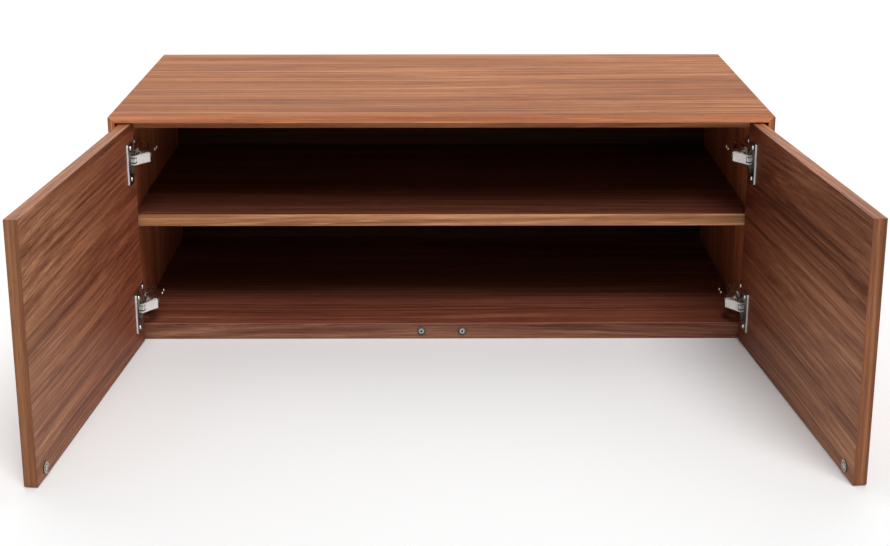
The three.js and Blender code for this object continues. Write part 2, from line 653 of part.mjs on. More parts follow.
function strikePlate() {
  const top = strikeTop();
  const low = top - STRIKE;
  const hole = STRIKE_SCREW_DIAMETER / 2 + FIT_GAP;
  const sink = STRIKE_HEAD_DIAMETER / 2 + 2 * FIT_GAP;
  const rim = STRIKE_DIAMETER / 2;
  return turned([
    [hole, low],
    [rim, low],
    [rim, top - STRIKE / 3],
    [rim - STRIKE / 3, top],
    [sink, top],
    [hole + FIT_GAP, low + STRIKE / 4],
    [hole, low],
  ], CURVE_SEGMENTS);
}

function strikeScrew() {
  const top = strikeTop() - STRIKE_HEAD_SUNK;
  const shank = STRIKE_SCREW_DIAMETER / 2;
  const tip = strikeTop() - STRIKE_SCREW_LENGTH;
  return turned([
    [0, tip],
    [shank, tip + 2 * shank],
    [shank, top - STRIKE],
    [STRIKE_HEAD_DIAMETER / 2, top],
    [0, top],
  ]);
}

// ---------- Push latch: turned about a line along Y ----------

const LATCH_MOUTH = REBATE - FIT_GAP - LATCH_RING; // front of the housing's ring
const LATCH_END = REBATE + LATCH_LENGTH;
const PLUNGER_TIP = DOOR + FIT_GAP + STRIKE + PLUNGER_GAP;
const MAGNET_BACK = PLUNGER_TIP + MAGNET_THICKNESS;
const WEB_FRONT = MAGNET_BACK + FIT_GAP;
const WEB_BACK = WEB_FRONT + MAGNET_WEB;
const PLUNGER_BORE = PLUNGER_DIAMETER / 2 - PLUNGER_WALL;

function latchHousing() {
  const outer = LATCH_DIAMETER / 2;
  const inner = outer - LATCH_WALL;
  const floor = LATCH_END - LATCH_REAR_WALL;
  return turned([
    [0, floor],
    [inner, floor],
    [inner, LATCH_MOUTH],
    [LATCH_RING_DIAMETER / 2 - LATCH_RING_BREAK, LATCH_MOUTH],
    [LATCH_RING_DIAMETER / 2, LATCH_MOUTH + LATCH_RING_BREAK],
    [LATCH_RING_DIAMETER / 2, LATCH_MOUTH + LATCH_RING],
    [outer, LATCH_MOUTH + LATCH_RING],
    [outer, LATCH_END],
    [0, LATCH_END],
  ], CURVE_SEGMENTS);
}

function latchPlunger() {
  const outer = PLUNGER_DIAMETER / 2;
  const hole = MAGNET_HOLE_DIAMETER / 2;
  const rear = PLUNGER_TIP + PLUNGER_LENGTH;
  return turned([
    [outer, PLUNGER_TIP + PLUNGER_BREAK],
    [outer, rear],
    [PLUNGER_BORE, rear],
    [PLUNGER_BORE, WEB_BACK],
    [hole, WEB_BACK],
    [hole, WEB_FRONT],
    [PLUNGER_BORE, WEB_FRONT],
    [PLUNGER_BORE, PLUNGER_TIP],
    [outer - PLUNGER_BREAK, PLUNGER_TIP],
    [outer, PLUNGER_TIP + PLUNGER_BREAK],
  ], CURVE_SEGMENTS);
}

function latchMagnet() {
  const outer = PLUNGER_BORE - FIT_GAP;
  const hole = MAGNET_HOLE_DIAMETER / 2;
  return turned([
    [hole, PLUNGER_TIP],
    [outer, PLUNGER_TIP],
    [outer, MAGNET_BACK],
    [hole, MAGNET_BACK],
    [hole, PLUNGER_TIP],
  ], CURVE_SEGMENTS);
}

class Helix extends THREE.Curve {
  constructor(radius, y0, y1, coils) {
    super();
    Object.assign(this, { radius, y0, y1, coils });
  }

  getPoint(t, target = new THREE.Vector3()) {
    const turn = 2 * Math.PI * this.coils * t;
    const y = this.y0 + (this.y1 - this.y0) * t;
    return target.set(this.radius * Math.cos(turn), y, this.radius * Math.sin(turn));
  }
}

function latchSpring() {
  const start = WEB_BACK + SPRING_CLEARANCE;
  const end = LATCH_END - LATCH_REAR_WALL - FIT_GAP - SPRING_WIRE / 2;
  const section = new THREE.Shape().absarc(0, 0, SPRING_WIRE / 2, 0, 2 * Math.PI);
  return new THREE.ExtrudeGeometry(section, {
    extrudePath: new Helix(SPRING_DIAMETER / 2, start, end, SPRING_COILS),
    steps: 6 * SPRING_COILS,
    curveSegments: 2,
  });
}

// ---------- Assembly ----------

function placed(object, x, y, z) {
  object.position.set(x, y, z);
  return object;
}

function hingeOf(hand, level, opening) {
  const group = placed(new THREE.Group(), 0, 0, HINGE_HEIGHTS[level]);
  const tag = `${level}_${hand}`;
  group.add(part(`hinge_plate_${tag}`, mountingPlate(), 'nickel'));
  group.add(part(`hinge_arm_${tag}`, arm(), 'nickel'));
  plateScrewHeights(0).forEach((z, i) => {
    const screw = part(`plate_screw_${i + 1}_${tag}`, plateScrew(), 'steel');
    group.add(placed(screw, 0, REBATE + PLATE_SETBACK, z));
  });
  const links = [
    [part(`outer_link_${tag}`, outerLink(), 'nickel'), OUTER_LINK],
    [part(`inner_link_${tag}`, innerLink(), 'nickel'), INNER_LINK],
  ];
  for (const [mesh, { pivot, shutAngle, turnPerOpening }] of links) {
    mesh.rotation.z = shutAngle + turnPerOpening * opening;
    group.add(placed(mesh, pivot.x, pivot.y, 0));
  }
  return group;
}

function doorOf(hand, opening) {
  const group = placed(new THREE.Group(), AXIS_INWARD, AXIS_BACKWARD, 0);
  group.rotation.z = -opening;
  group.add(part(`door_panel_${hand}`, doorPanel(), 'walnut'));
  for (const [level, height] of Object.entries(HINGE_HEIGHTS)) {
    group.add(placed(part(`hinge_cup_${level}_${hand}`, hingeCup(), 'nickel'), CUP_CENTRE, 0, height));
  }
  group.add(placed(part(`strike_plate_${hand}`, strikePlate(), 'steel'), STRIKE_PLACE, 0, LATCH_HEIGHT));
  group.add(placed(part(`strike_screw_${hand}`, strikeScrew(), 'steel'), STRIKE_PLACE, 0, LATCH_HEIGHT));
  return group;
}

function latchOf(hand) {
  const group = placed(new THREE.Group(), WIDTH / 2 - LIP - LATCH_SPACING / 2, 0, LATCH_HEIGHT);
  group.add(part(`latch_housing_${hand}`, latchHousing(), 'greyPlastic'));
  group.add(part(`latch_plunger_${hand}`, latchPlunger(), 'palePlastic'));
  group.add(part(`latch_magnet_${hand}`, latchMagnet(), 'steel'));
  group.add(part(`latch_spring_${hand}`, latchSpring(), 'steel'));
  return group;
}

function handOf(hand, side, openingDegrees) {
  const opening = THREE.MathUtils.degToRad(openingDegrees);
  const group = placed(new THREE.Group(), side * (WIDTH / 2 - LIP), FRONT, 0);
  group.scale.x = -side;
  group.add(part(`side_panel_${hand}`, sidePanel(), 'walnut'));
  group.add(part(`mitre_spline_${hand}`, mitreSpline(), 'beech'));
  dowelPlaces().forEach((y, i) => group.add(part(`dowel_${i + 1}_${hand}`, dowel(y), 'beech')));
  pinPlaces().forEach((y, i) => group.add(part(`shelf_pin_${i + 1}_${hand}`, shelfPin(y), 'nickel')));
  for (const level of Object.keys(HINGE_HEIGHTS)) {
    group.add(hingeOf(hand, level, opening));
  }
  group.add(doorOf(hand, opening));
  group.add(latchOf(hand));
  return group;
}

const group = new THREE.Group();
group.add(part('top_panel', topPanel(), 'walnut'));
group.add(part('bottom_panel', bottomPanel(), 'walnutEdge'));
group.add(part('back_panel', backPanel(), 'walnut'));
group.add(part('shelf', shelf(), 'walnutEdge'));
group.add(handOf('left', -1, LEFT_REST_OPENING));
group.add(handOf('right', 1, RIGHT_REST_OPENING));

export default group;
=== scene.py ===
"""A low walnut cabinet with two doors: softened boards, veneers and hinge and latch fittings."""
import json
import math

import bmesh
import bpy
from mathutils import Matrix, Vector


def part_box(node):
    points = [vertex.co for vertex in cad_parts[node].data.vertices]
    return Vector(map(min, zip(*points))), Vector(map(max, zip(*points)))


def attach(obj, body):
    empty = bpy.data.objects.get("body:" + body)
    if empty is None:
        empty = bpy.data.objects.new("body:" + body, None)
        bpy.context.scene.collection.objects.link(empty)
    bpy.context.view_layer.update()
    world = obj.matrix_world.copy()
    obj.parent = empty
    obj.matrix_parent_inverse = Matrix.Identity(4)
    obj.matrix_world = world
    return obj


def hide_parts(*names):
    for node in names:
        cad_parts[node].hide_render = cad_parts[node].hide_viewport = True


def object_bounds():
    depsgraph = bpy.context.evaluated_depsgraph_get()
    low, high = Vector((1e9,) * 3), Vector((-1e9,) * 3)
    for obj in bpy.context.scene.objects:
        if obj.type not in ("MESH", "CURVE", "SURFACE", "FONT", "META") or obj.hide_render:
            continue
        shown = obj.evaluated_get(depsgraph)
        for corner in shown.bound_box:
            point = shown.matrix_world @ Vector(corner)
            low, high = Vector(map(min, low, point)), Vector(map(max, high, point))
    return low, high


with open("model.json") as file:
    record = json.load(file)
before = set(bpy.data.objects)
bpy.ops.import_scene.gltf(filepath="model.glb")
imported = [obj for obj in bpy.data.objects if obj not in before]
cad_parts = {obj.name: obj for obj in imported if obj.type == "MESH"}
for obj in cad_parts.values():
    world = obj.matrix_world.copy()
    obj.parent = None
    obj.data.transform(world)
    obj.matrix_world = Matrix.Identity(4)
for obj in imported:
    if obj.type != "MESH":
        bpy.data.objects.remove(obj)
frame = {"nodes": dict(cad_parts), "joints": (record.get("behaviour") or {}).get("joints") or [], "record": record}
cad_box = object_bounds()

HANDS = ("left", "right")
LEVELS = ("lower", "upper")
MM = 0.001

# ---------- Places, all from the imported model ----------

SIDE_OF = {"left": -1, "right": 1}
LIP = 10 * MM
swing = {j["name"]: j for j in frame["joints"]}


def rest_opening(hand):
    """How far a door stands open at rest, in radians: its joint's travel back to shut."""
    joint = swing[f"door_{hand}_swing"]
    return -math.radians(joint["range_deg"][0])


def hand_place(hand):
    """A place at a lip's inner front corner, with x inwards and y backwards."""
    low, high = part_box(f"side_panel_{hand}")
    side = SIDE_OF[hand]
    outer = high.x if side > 0 else low.x
    inwards = Vector((-side, 0, 0))
    origin = Vector((outer, low.y, 0)) + inwards * LIP
    return columns(inwards, Vector((0, 1, 0)), origin)


def door_place(hand):
    """A place at a door's axis, with x to its free edge and y to its inner face."""
    joint = swing[f"door_{hand}_swing"]
    side = SIDE_OF[hand]
    turn = Matrix.Rotation(side * rest_opening(hand), 3, "Z")
    axis = Vector((joint["pos_m"][0], joint["pos_m"][1], 0))
    return columns(turn @ Vector((-side, 0, 0)), turn @ Vector((0, 1, 0)), axis)


def reach(place, node):
    """Lowest and highest corners of a CAD node, measured in a place's own directions."""
    back = place.inverted()
    spots = [back @ vertex.co for vertex in frame["nodes"][node].data.vertices]
    low = Vector([min(spot[axis] for spot in spots) for axis in range(3)])
    high = Vector([max(spot[axis] for spot in spots) for axis in range(3)])
    return low, high


def columns(x_way, y_way, origin):
    """A place from its x and y directions and its origin, with z upwards."""
    place = Matrix.Identity(4)
    for row in range(3):
        place[row][0], place[row][1], place[row][3] = x_way[row], y_way[row], origin[row]
    return place


# ---------- Finishes ----------


class Flow:
    """A socket that can be reckoned with: arithmetic on it adds Math nodes to its finish."""

    def __init__(self, finish, socket):
        self.finish = finish
        self.socket = socket

    def math(self, operation, *terms, clamp=False):
        settings = {"operation": operation, "use_clamp": clamp}
        return self.finish.node("ShaderNodeMath", settings, dict(enumerate(terms)))

    def __add__(self, other):
        return self.math("ADD", self, other)

    def __mul__(self, other):
        return self.math("MULTIPLY", self, other)

    def __sub__(self, other):
        return self.math("SUBTRACT", self, other)

    def __rsub__(self, other):
        return self.math("SUBTRACT", other, self)

    __radd__ = __add__
    __rmul__ = __mul__

    def between(self, low, high):
        """0 up to low, 1 from high, and a straight run between."""
        return self.math("MULTIPLY", self - low, 1 / (high - low), clamp=True)


class Finish:
    """A material and the nodes that make it up."""

    def __init__(self, name):
        self.material = bpy.data.materials.new(name)
        self.material.use_nodes = True
        self.tree = self.material.node_tree
        self.tree.nodes.clear()

    def node(self, kind, settings=None, inputs=None, output=0):
        node = self.tree.nodes.new(kind)
        for key, value in (settings or {}).items():
            if key == "stops":
                set_stops(node.color_ramp, value)
            else:
                setattr(node, key, value)
        for key, value in (inputs or {}).items():
            if isinstance(value, Flow):
                self.tree.links.new(value.socket, node.inputs[key])
            else:
                node.inputs[key].default_value = value
        return Flow(self, node.outputs[output]) if node.outputs else None

    def local(self, centre=(0, 0, 0), turn=(0, 0, 0)):
        """Object coordinates, measured from centre and along the turned directions."""
        coordinates = self.node("ShaderNodeTexCoord", output="Object")
        settings = {"vector_type": "TEXTURE"}
        inputs = {"Vector": coordinates, "Location": centre, "Rotation": turn}
        return self.node("ShaderNodeMapping", settings, inputs)

    def stretched(self, vector, scale, shift=(0, 0, 0)):
        inputs = {"Vector": vector, "Scale": scale, "Location": shift}
        return self.node("ShaderNodeMapping", {"vector_type": "POINT"}, inputs)

    def noise(self, vector, scale=1, detail=2, roughness=0.5):
        inputs = {"Vector": vector, "Scale": scale, "Detail": detail, "Roughness": roughness}
        return self.node("ShaderNodeTexNoise", {"noise_dimensions": "3D"}, inputs)

    def mixed(self, factor, one, other, blend="MIX"):
        settings = {"data_type": "RGBA", "blend_type": blend}
        return self.node("ShaderNodeMix", settings, {0: factor, 6: one, 7: other}, output=2)

    def ramp(self, factor, stops):
        return self.node("ShaderNodeValToRGB", {"stops": stops}, {"Fac": factor})

    def bump(self, height, strength, depth):
        inputs = {"Height": height, "Strength": strength, "Distance": depth}
        return self.node("ShaderNodeBump", {}, inputs)

    def surface(self, **sockets):
        named = {key.replace("_", " "): value for key, value in sockets.items()}
        shader = self.node("ShaderNodeBsdfPrincipled", {}, named)
        self.node("ShaderNodeOutputMaterial", {}, {"Surface": shader})
        return self.material


def set_stops(ramp, stops):
    while len(ramp.elements) < len(stops):
        ramp.elements.new(1)
    for element, (place, colour) in zip(ramp.elements, stops):
        element.position = place
        element.color = (*colour, 1)


ALONG_X = (0, 0, 0)
ALONG_Z = (0, -math.pi / 2, 0)

WALNUT_DARK = (0.112, 0.034, 0.016)
WALNUT_MID = (0.275, 0.100, 0.046)
WALNUT_LIGHT = (0.50, 0.222, 0.105)

# How often each layer of the figure repeats in a metre: along the grain, then across it.
WANDER = (0.9, 3.0, 3.0)
LEAF = (0.45, 9, 9)
STREAK = (0.8, 52, 52)
LINE = (1.3, 150, 150)
DASH = (7, 330, 330)
FIBRE = (14, 900, 900)
PORE = (48, 1500, 1500)
SEED_STEP = (3.7, 1.9, 2.3)

# What the layers add to the figure, and the noise at which pores and dashes begin and are whole.
LEAF_SHARE = 0.8
LINE_SHARE = 1.25
FIBRE_SHARE = 0.45
PORE_SPAN = (0.6, 0.72)
PORE_SHARE = 0.45
DASH_SPAN = (0.6, 0.74)
DASH_SHARE = 0.38

# Painted shade beside a door's hinges, standing in for the cabinet's shade on a door's inner face, in metres from
# the door's axis.
HINGE_SHADE_START = 0.03
HINGE_SHADE_REACH = 0.42
HINGE_SHADE_WANDER = 0.3


def shaded(colour, tone, tint=(1, 1, 1)):
    return tuple(part * tone * share for part, share in zip(colour, tint))


def walnut(
    name, turn=ALONG_X, centre=(0, 0, 0), tone=1.0, seed=0.0, contrast=1.0, arris_tone=1.15,
    tint=(1, 1, 1), hinge_shade=None, gloss=0.1, sway=0.05, streaky=0.75,
):
    """Satin lacquered walnut veneer with its grain along the turned X direction.

    tone and tint set its colour, sway and streaky its figure. A colour given for the painted shade beside a door's
    hinges darkens it from there. arris_tone sets the colour painted on rounded edges: a painted highlight, or a
    dark joint line on doors.
    """
    finish = Finish(name)
    at = finish.local(centre, turn)
    slip = tuple(seed * step for step in SEED_STEP)
    wander = finish.noise(finish.stretched(at, WANDER, slip), detail=1) - 0.5
    split = finish.node("ShaderNodeSeparateXYZ", {}, {"Vector": at})
    along = Flow(finish, split.socket.node.outputs["X"])
    across = Flow(finish, split.socket.node.outputs["Y"]) + wander * sway
    deep = Flow(finish, split.socket.node.outputs["Z"]) + wander * sway
    bent = finish.node("ShaderNodeCombineXYZ", {}, {"X": along, "Y": across, "Z": deep})

    def layer(scale, **settings):
        return finish.noise(finish.stretched(bent, scale, slip), **settings)

    leaf = layer(LEAF)
    streak = layer(STREAK, detail=4, roughness=0.62)
    line = layer(LINE, detail=3, roughness=0.6)
    fibre = layer(FIBRE)
    pores = layer(PORE, detail=1).between(*PORE_SPAN)
    dashes = layer(DASH, detail=1).between(*DASH_SPAN)
    broad = (leaf - 0.5) * LEAF_SHARE + (streak - 0.5) * streaky
    figure = broad + (line - 0.5) * LINE_SHARE + (fibre - 0.5) * FIBRE_SHARE
    value = figure * contrast + 0.5
    stops = [
        (0.14, shaded(WALNUT_DARK, tone, tint)),
        (0.5, shaded(WALNUT_MID, tone, tint)),
        (0.86, shaded(WALNUT_LIGHT, tone, tint)),
    ]
    colour = finish.ramp(value, stops)
    in_pores = (*shaded(WALNUT_DARK, tone * 0.7, tint), 1)
    colour = finish.mixed(pores * PORE_SHARE, colour, in_pores)
    in_dashes = (*shaded(WALNUT_LIGHT, tone * 1.1, tint), 1)
    colour = finish.mixed(dashes * DASH_SHARE, colour, in_dashes)
    # Painted shade: the colour darkens towards the door's axis, where the cabinet shades the inner face beside the
    # hinges.
    if hinge_shade:
        beyond = (along + wander * HINGE_SHADE_WANDER).between(HINGE_SHADE_START, HINGE_SHADE_REACH)
        colour = finish.mixed(1 - beyond, colour, (*hinge_shade, 1), "MULTIPLY")
    # Rounded arris faces are mixed towards a lighter walnut as a painted highlight; the doors' low arris_tone
    # makes this a dark joint line instead.
    arris = finish.node("ShaderNodeAttribute", {"attribute_name": "arris"}, output="Fac")
    colour = finish.mixed(arris * 0.35, colour, (*shaded(WALNUT_LIGHT, tone * arris_tone, tint), 1))
    roughness = 0.5 + (line - 0.5) * 0.16 + pores * 0.14 - arris * 0.08
    relief = (fibre - 0.5) * 0.5 - pores * 0.8 + (line - 0.5) * 0.4
    return finish.surface(
        Base_Color=colour,
        Roughness=roughness,
        Normal=finish.bump(relief, 0.25, 0.15 * MM),
        Specular_IOR_Level=gloss,
    )


DRAWN = (300, 300, 12)


def plated(name, colour, roughness, metal=1.0, cloud_scale=60, spread=(0.86, 1.06)):
    """Bright plated steel, faintly drawn and fingered."""
    finish = Finish(name)
    at = finish.local()
    drawn = finish.noise(finish.stretched(at, DRAWN), scale=6, detail=3)
    cloud = finish.noise(at, scale=cloud_scale, detail=3)
    dull, bright = (shaded(colour, share) for share in spread)
    tint = finish.ramp(cloud, [(0.3, dull), (0.7, bright)])
    rough = roughness + (drawn - 0.5) * 0.16 + (cloud - 0.5) * 0.12
    return finish.surface(
        Base_Color=tint,
        Roughness=rough,
        Metallic=metal,
        Normal=finish.bump(drawn, 0.12, 0.05 * MM),
    )


def moulded(name, colour, roughness):
    """Moulded plastic with a fine spark texture."""
    finish = Finish(name)
    at = finish.local()
    grit = finish.noise(at, scale=2400, detail=2)
    cloud = finish.noise(at, scale=90, detail=2)
    tint = finish.ramp(cloud, [(0.3, shaded(colour, 0.85)), (0.7, shaded(colour, 1.1))])
    return finish.surface(
        Base_Color=tint,
        Roughness=roughness + (grit - 0.5) * 0.2,
        Normal=finish.bump(grit, 0.2, 0.05 * MM),
    )


def beech(name):
    """Plain beech with short flecks, unfinished."""
    finish = Finish(name)
    at = finish.local()
    fleck = finish.noise(finish.stretched(at, (60, 400, 400)), detail=3)
    tint = finish.ramp(fleck, [(0.3, (0.5, 0.33, 0.19)), (0.7, (0.68, 0.49, 0.31))])
    return finish.surface(
        Base_Color=tint,
        Roughness=0.7 + (fleck - 0.5) * 0.2,
        Normal=finish.bump(fleck, 0.2, 0.1 * MM),
    )


# ---------- Boards ----------

FLAT = math.radians(0.5)
SQUARE = math.radians(90)
SQUARE_SLACK = math.radians(6)
SHORTEST_ARRIS = 16 * MM
SMOOTH_BELOW = math.radians(32)
FACING = 0.9
BEHIND_LIP = 2 * MM
CORNER_RADIUS = 3 * MM
CORNER_CUTS = (22.5, 45, 67.5)
CUT_SLACK = 0.001 * MM
WELD = 0.01 * MM
SHELL_ARRIS = 1.1 * MM
INSIDE_ARRIS = 0.8 * MM
THIN_ARRIS = 0.5 * MM


def joined_up(node):
    """A CAD node's loose triangles as one closed mesh with whole flat faces."""
    bm = bmesh.new()
    bm.from_mesh(frame["nodes"][node].data)
    bmesh.ops.remove_doubles(bm, verts=bm.verts, dist=WELD)
    bmesh.ops.dissolve_limit(bm, angle_limit=FLAT, verts=bm.verts, edges=bm.edges)
    return bm


def square_arrises(bm):
    """A board's long outward right-angled edges."""
    return [
        edge for edge in bm.edges
        if edge.is_manifold
        and edge.is_convex
        and abs(edge.calc_face_angle() - SQUARE) < SQUARE_SLACK
        and edge.calc_length() > SHORTEST_ARRIS
    ]


def soften(bm, edges, radius, segments=3):
    """Rounds edges over and marks the new faces as arris."""
    arris = bm.faces.layers.float.get("arris") or bm.faces.layers.float.new("arris")
    made = bmesh.ops.bevel(
        bm, geom=edges, offset=radius, offset_type="OFFSET", segments=segments, profile=0.5,
        affect="EDGES", material=-1, clamp_overlap=True, loop_slide=True,
    )
    for face in made["faces"]:
        face[arris] = 1.0


def piece(name, bm, body, finishes, replaces=()):
    """Puts a finished mesh on its body."""
    mesh = bpy.data.meshes.new(name)
    bm.to_mesh(mesh)
    bm.free()
    for face in mesh.polygons:
        face.use_smooth = True
    mesh.set_sharp_from_angle(angle=SMOOTH_BELOW)
    obj = bpy.data.objects.new(name, mesh)
    bpy.context.scene.collection.objects.link(obj)
    for finish in finishes:
        mesh.materials.append(finish)
    weighted = obj.modifiers.new("even_shading", "WEIGHTED_NORMAL")
    weighted.keep_sharp = True
    if replaces:
        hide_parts(*replaces)
    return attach(obj, body)


def front_band(face):
    return 1 if face.normal.y < -FACING else 0


def rear_face(face):
    return 1 if face.normal.y > FACING else 0


def lip_and_step(face):
    """1 on a lip's front, 2 on the rebate's step behind it, and 0 elsewhere."""
    if face.normal.y > -FACING:
        return 0
    return 1 if face.calc_center_median().y < lip_front + BEHIND_LIP else 2


def round_corner(bm, side):
    """Rounds the shell's outer mitred corner by three cuts square to the joint."""
    centre = Vector((side * (shell_half - CORNER_RADIUS), 0, top_high.z - CORNER_RADIUS))
    for degrees in CORNER_CUTS:
        slope = math.radians(degrees)
        away = Vector((side * math.cos(slope), 0, math.sin(slope)))
        whole = bm.verts[:] + bm.edges[:] + bm.faces[:]
        cut = bmesh.ops.bisect_plane(
            bm, geom=whole, dist=CUT_SLACK, plane_co=centre + away * CORNER_RADIUS,
            plane_no=away, clear_outer=True,
        )
        rim = [item for item in cut["geom_cut"] if isinstance(item, bmesh.types.BMEdge)]
        if rim:
            bmesh.ops.contextual_create(bm, geom=rim)


def board(name, node, body, finishes, radius, chooses, corners=()):
    """A softened board in place of its CAD node, each face veneered as chooses says."""
    bm = joined_up(node)
    for side in corners:
        round_corner(bm, side)
    soften(bm, square_arrises(bm), radius)
    for face in bm.faces:
        face.material_index = chooses(face)
    return piece(name, bm, body, finishes, replaces=[node])


top_low, top_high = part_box("top_panel")
shell_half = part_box("side_panel_right")[1].x
lip_front = top_low.y

REDDER = (1, 0.78, 0.95)
PALER = (1, 1.25, 1.3)
WARMER = (1, 1, 0.92)
COOLER = (1, 1.08, 1.45)
WARM_WALL = (1, 0.8, 0.72)
WARM_SIDE = (1, 0.9, 0.78)
# Paler, greyer inner door faces: a painted sheen.
DOOR_SHEEN_TINT = (1.04, 1.15, 1.29)

top_veneers = [
    walnut("walnut_top", seed=1, tone=1.16, tint=WARMER, gloss=0.02),
    walnut("walnut_top_band", seed=20, tone=1.9, contrast=0.55),
    walnut("walnut_top_step", seed=27, tone=1.12, contrast=0.6),
]
bottom_veneers = [
    walnut("walnut_bottom", seed=2, tone=0.7, tint=REDDER),
    walnut("walnut_bottom_band", seed=21, tone=0.73, tint=COOLER),
]
# The shelf's top is darkened and reddened: painted shade for the cabinet's dark inside. Its front edge uses a
# lighter walnut.
shelf_veneers = [
    walnut("walnut_shelf", seed=4, tone=0.4, tint=REDDER),
    walnut("walnut_shelf_band", seed=22, tone=1.7, tint=PALER, contrast=0.8),
]
# The back's inner face is darkened nearly to black: painted shade for the cabinet's dark inside. Its outer face
# keeps a plain walnut tone.
back_veneers = [
    walnut("walnut_back", seed=3, tone=0.19, tint=REDDER),
    walnut("walnut_rear", seed=30, tone=0.8),
]
board(
    "top_board", "top_panel", "carcass", top_veneers, SHELL_ARRIS,
    lip_and_step, corners=(-1, 1),
)
board(
    "bottom_board", "bottom_panel", "carcass", bottom_veneers, INSIDE_ARRIS,
    front_band,
)
board("back_board", "back_panel", "carcass", back_veneers, THIN_ARRIS, rear_face)
board("shelf_board", "shelf", "carcass", shelf_veneers, INSIDE_ARRIS, front_band)

DOOR_ARRIS_TONE = 0.3
DOOR_SWAY = 0.11
BAND_TONE = {"left": 0.64, "right": 0.78}
INNER_TONE = {"left": 1.1, "right": 0.99}
# Colours that the painted shade beside each door's hinges starts from.
HINGE_SHADE = {"left": (0.82, 0.56, 0.5), "right": (0.42, 0.24, 0.2)}

for hand in HANDS:
    side = SIDE_OF[hand]
    upright = walnut(f"walnut_side_{hand}", turn=ALONG_Z, seed=5 + side, tone=1.04, tint=WARM_SIDE)
    lip_band = walnut(f"walnut_side_band_{hand}", turn=ALONG_Z, seed=24 + side, tone=1.4)
    step_band = walnut(f"walnut_side_step_{hand}", turn=ALONG_Z, seed=28 + side, tone=1.08)
    wall = walnut(f"walnut_wall_{hand}", turn=ALONG_Z, seed=5 + side, tone=1.5, tint=WARM_WALL)
    side_veneers = [upright, lip_band, step_band, wall]

    def side_veneer(face):
        return 3 if face.normal.x * side < -FACING else lip_and_step(face)

    board(
        f"side_board_{hand}", f"side_panel_{hand}", "carcass", side_veneers,
        SHELL_ARRIS, side_veneer, corners=(side,),
    )

    place = door_place(hand)
    edge_way = Vector((place[0][0], place[1][0], 0))
    inner_way = Vector((place[0][1], place[1][1], 0))
    grain = (0, 0, math.atan2(edge_way.y, edge_way.x))
    door_seed = 9 + 2 * side
    flat = walnut(
        f"walnut_door_{hand}", turn=grain, centre=place.translation, seed=door_seed,
        arris_tone=DOOR_ARRIS_TONE, sway=DOOR_SWAY, streaky=0.5,
    )
    band = walnut(
        f"walnut_door_band_{hand}", turn=ALONG_Z, seed=14 + side, tone=BAND_TONE[hand],
        contrast=0.8, arris_tone=DOOR_ARRIS_TONE,
    )
    inner = walnut(
        f"walnut_door_inner_{hand}", turn=grain, centre=place.translation, seed=door_seed,
        tone=INNER_TONE[hand], contrast=1.1, arris_tone=DOOR_ARRIS_TONE, hinge_shade=HINGE_SHADE[hand],
        tint=DOOR_SHEEN_TINT, sway=DOOR_SWAY, streaky=0.4,
    )

    def door_veneer(face):
        if face.normal.dot(inner_way) > FACING:
            return 2
        return 1 if abs(face.normal.dot(edge_way)) > FACING else 0

    board(
        f"door_board_{hand}", f"door_panel_{hand}", f"door_{hand}", [flat, band, inner],
        THIN_ARRIS, door_veneer,
    )

# ---------- Fittings, as packed or with their arrises eased ----------

nickel = plated("nickel_plate", (0.84, 0.83, 0.81), 0.26)
link_nickel = plated("link_nickel", (0.95, 0.94, 0.92), 0.4, metal=0.2)
cup_nickel = plated("cup_nickel", (0.36, 0.35, 0.34), 0.32)
# A bright, barely metallic finish for the cup flange's far edge: a painted highlight.
painted_flange_highlight = plated("painted_flange_highlight", (0.95, 0.94, 0.92), 0.35, metal=0.3)
zinc = plated("zinc_plate", (0.78, 0.78, 0.77), 0.3)
disc = plated("strike_steel", (0.44, 0.40, 0.35), 0.36, cloud_scale=420, spread=(0.2, 1.6))
recess_shade = plated("recess_shade", (0.12, 0.115, 0.11), 0.5)
# A near-black finish for the strike disc's rim and groove: painted shade.
painted_rim_shade = plated("strike_painted_shade", (0.05, 0.045, 0.04), 0.45)
spring_wire = plated("spring_wire", (0.5, 0.5, 0.5), 0.3)
grey_plastic = moulded("grey_plastic", (0.055, 0.052, 0.05), 0.5)
pale_plastic = moulded("pale_plastic", (0.24, 0.235, 0.23), 0.42)
# A near-black finish for the inside of the plunger's hole: painted shade.
painted_hole_shade = moulded("painted_hole_shade", (0.012, 0.012, 0.012), 0.7)
plain_beech = beech("plain_beech")

FITTING_FINISHES = {
    "mitre_spline": plain_beech,
    "dowel": plain_beech,
    "shelf_pin": nickel,
    "hinge_plate": nickel,
    "hinge_arm": nickel,
    "hinge_cup": cup_nickel,
    "outer_link": link_nickel,
    "inner_link": link_nickel,
    "plate_screw": zinc,
    "strike_screw": zinc,
    "strike_plate": disc,
    "latch_housing": grey_plastic,
    "latch_plunger": pale_plastic,
    "latch_magnet": zinc,
    "latch_spring": spring_wire,
}

SHARP = math.radians(38)
EASING_STEPS = 2
FLANGE_EDGE = 1.2 * MM
EDGE_FACING = 0.3


def sharp_arrises(bm):
    return [
        edge for edge in bm.edges
        if edge.is_manifold and edge.is_convex and edge.calc_face_angle() > SHARP
    ]


def body_with(node):
    bodies = frame["record"]["behaviour"]["bodies"]
    return next(body for body, nodes in bodies.items() if node in nodes)


def eased(node, finish, radius):
    """A pressed or cast fitting with its arrises eased. A cup's flange gets a painted highlight on its far edge.
    """
    bm = joined_up(node)
    soften(bm, sharp_arrises(bm), radius, EASING_STEPS)
    if node.startswith("hinge_cup"):
        door = door_place(node.split("_")[-1])
        far = reach(door, node)[1].x
        for face in bm.faces:
            spot = door.inverted() @ face.calc_center_median()
            way = door.to_3x3().inverted() @ face.normal
            if spot.x > far - FLANGE_EDGE and way.x > EDGE_FACING:
                face.material_index = 1
    finishes = [finish, painted_flange_highlight]
    return piece(f"{node}_eased", bm, body_with(node), finishes, replaces=[node])


